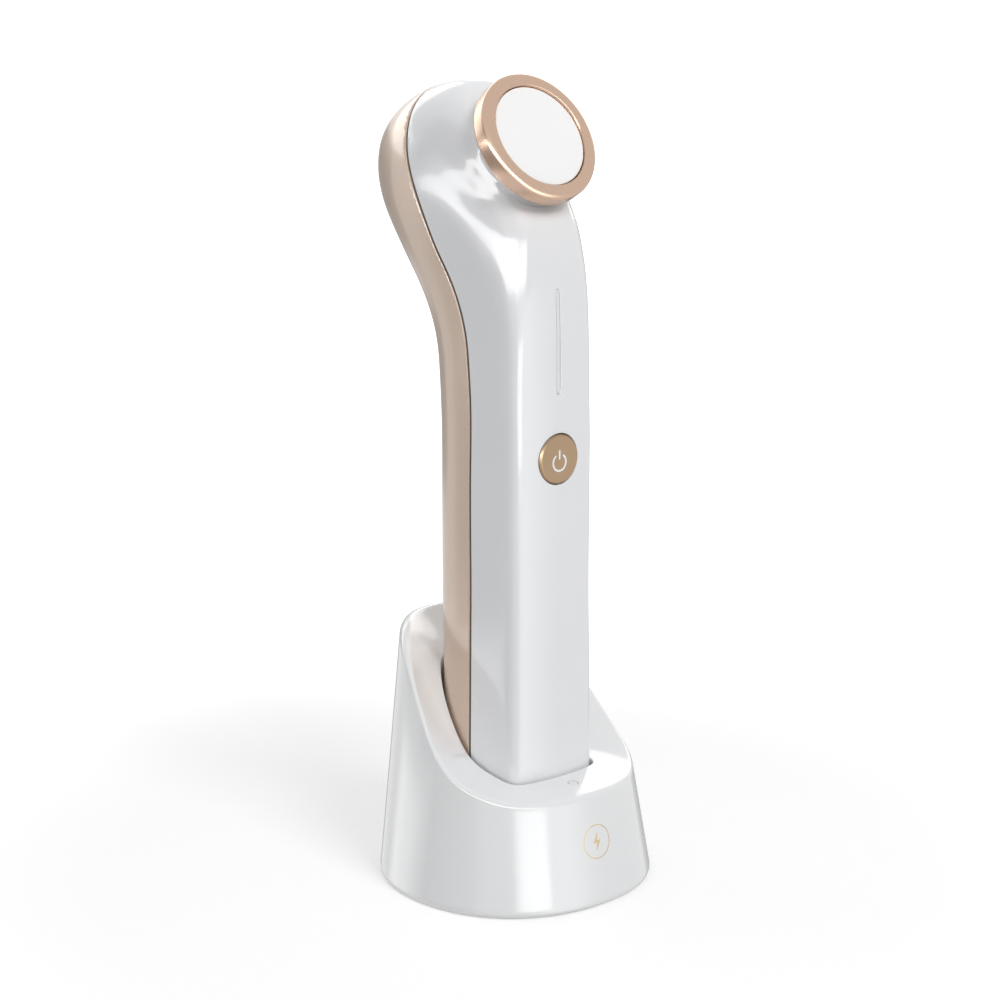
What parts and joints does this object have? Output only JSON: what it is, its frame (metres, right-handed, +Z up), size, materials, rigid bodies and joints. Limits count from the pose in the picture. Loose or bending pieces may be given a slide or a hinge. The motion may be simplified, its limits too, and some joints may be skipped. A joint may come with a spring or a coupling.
{
  "type": "plasma skin treatment device",
  "caption": "Handheld skin treatment device with a round ceramic head on a bent neck, standing in a scooped charging dock with spring contacts.",
  "frame": {"origin": "centre of the dock's underside, on the surface that it stands on", "axes": "+Z up along the handle, front (button and treatment disc) towards -Y, +X to the device's left side"},
  "size_m": [0.0708, 0.0821, 0.2091],
  "materials": {
    "white_gloss": "glossy white",
    "champagne_gloss": "glossy champagne gold",
    "rose_gold_satin": "satin rose gold",
    "bronze_satin": "satin gold brown",
    "dark_seal": "matt dark brown",
    "ceramic_white": "smooth white",
    "dark_plastic": "matt black",
    "circuit_board": "green solder mask",
    "steel": "bright",
    "gold_contact": "gold plated",
    "dark_rubber": "matt",
    "copper": "bare copper winding",
    "light_diffuser": "milky",
    "lead_red": "smooth insulation",
    "cell_wrap": "shrink wrap",
    "light_grey_plastic": "matt"
  },
  "bodies": {
    "dock": {"dock_shell": "white_gloss", "dock_base_plate": "light_grey_plastic", "anti_slip_sheet": "dark_rubber", "ballast_bar_left": "steel", "ballast_bar_right": "steel", "charge_spring_left": "steel", "charge_spring_right": "steel", "dock_board": "circuit_board", "contact_block": "dark_plastic", "dock_led": "light_diffuser", "dock_light_lens": "light_diffuser", "power_inlet": "steel", "dock_screw_1": "steel", "dock_screw_2": "steel", "dock_screw_3": "steel", "dock_screw_4": "steel"},
    "handset": {"front_shell": "white_gloss", "rear_shell": "champagne_gloss", "seam_gasket": "dark_seal", "base_cap": "dark_seal", "inner_frame": "dark_plastic", "control_board": "circuit_board", "control_chip": "dark_plastic", "button_switch": "steel", "status_led": "light_diffuser", "status_light_bar": "light_diffuser", "battery_cell": "cell_wrap", "battery_tab_lower": "steel", "battery_tab_upper": "steel", "voltage_converter": "dark_plastic", "transformer": "copper", "high_voltage_lead": "lead_red", "charge_pad_left": "gold_contact", "charge_pad_right": "gold_contact", "charge_wire_left": "lead_red", "charge_wire_right": "lead_red", "base_cap_screw_front": "steel", "base_cap_screw_rear": "steel", "treatment_disc": "ceramic_white", "head_ring": "rose_gold_satin", "ring_gasket": "dark_seal", "head_collar": "white_gloss", "electrode_plate": "gold_contact", "electrode_holder": "dark_plastic"},
    "power_button": {"power_button": "bronze_satin"},
    "charge_pin_left": {"charge_pin_left": "gold_contact"},
    "charge_pin_right": {"charge_pin_right": "gold_contact"}
  },
  "joints": [
    {"name": "handset_lift", "type": "slide", "parent": "dock", "child": "handset", "axis": [0, 0, 1], "range_m": [0, 0.06]},
    {"name": "power_button_press", "type": "slide", "parent": "handset", "child": "power_button", "axis": [0, 1, 0], "range_m": [0, 0.0006], "stiffness_N_per_m": 2000, "springref_m": -0.0004},
    {"name": "charge_pin_left_travel", "type": "slide", "parent": "dock", "child": "charge_pin_left", "axis": [0, 0, 1], "range_m": [-0.001, 0], "stiffness_N_per_m": 600, "springref_m": 0.0006, "deforming": ["charge_spring_left"]},
    {"name": "charge_pin_right_travel", "type": "slide", "parent": "dock", "child": "charge_pin_right", "axis": [0, 0, 1], "range_m": [-0.001, 0], "stiffness_N_per_m": 600, "springref_m": 0.0006, "deforming": ["charge_spring_right"]}
  ]
}
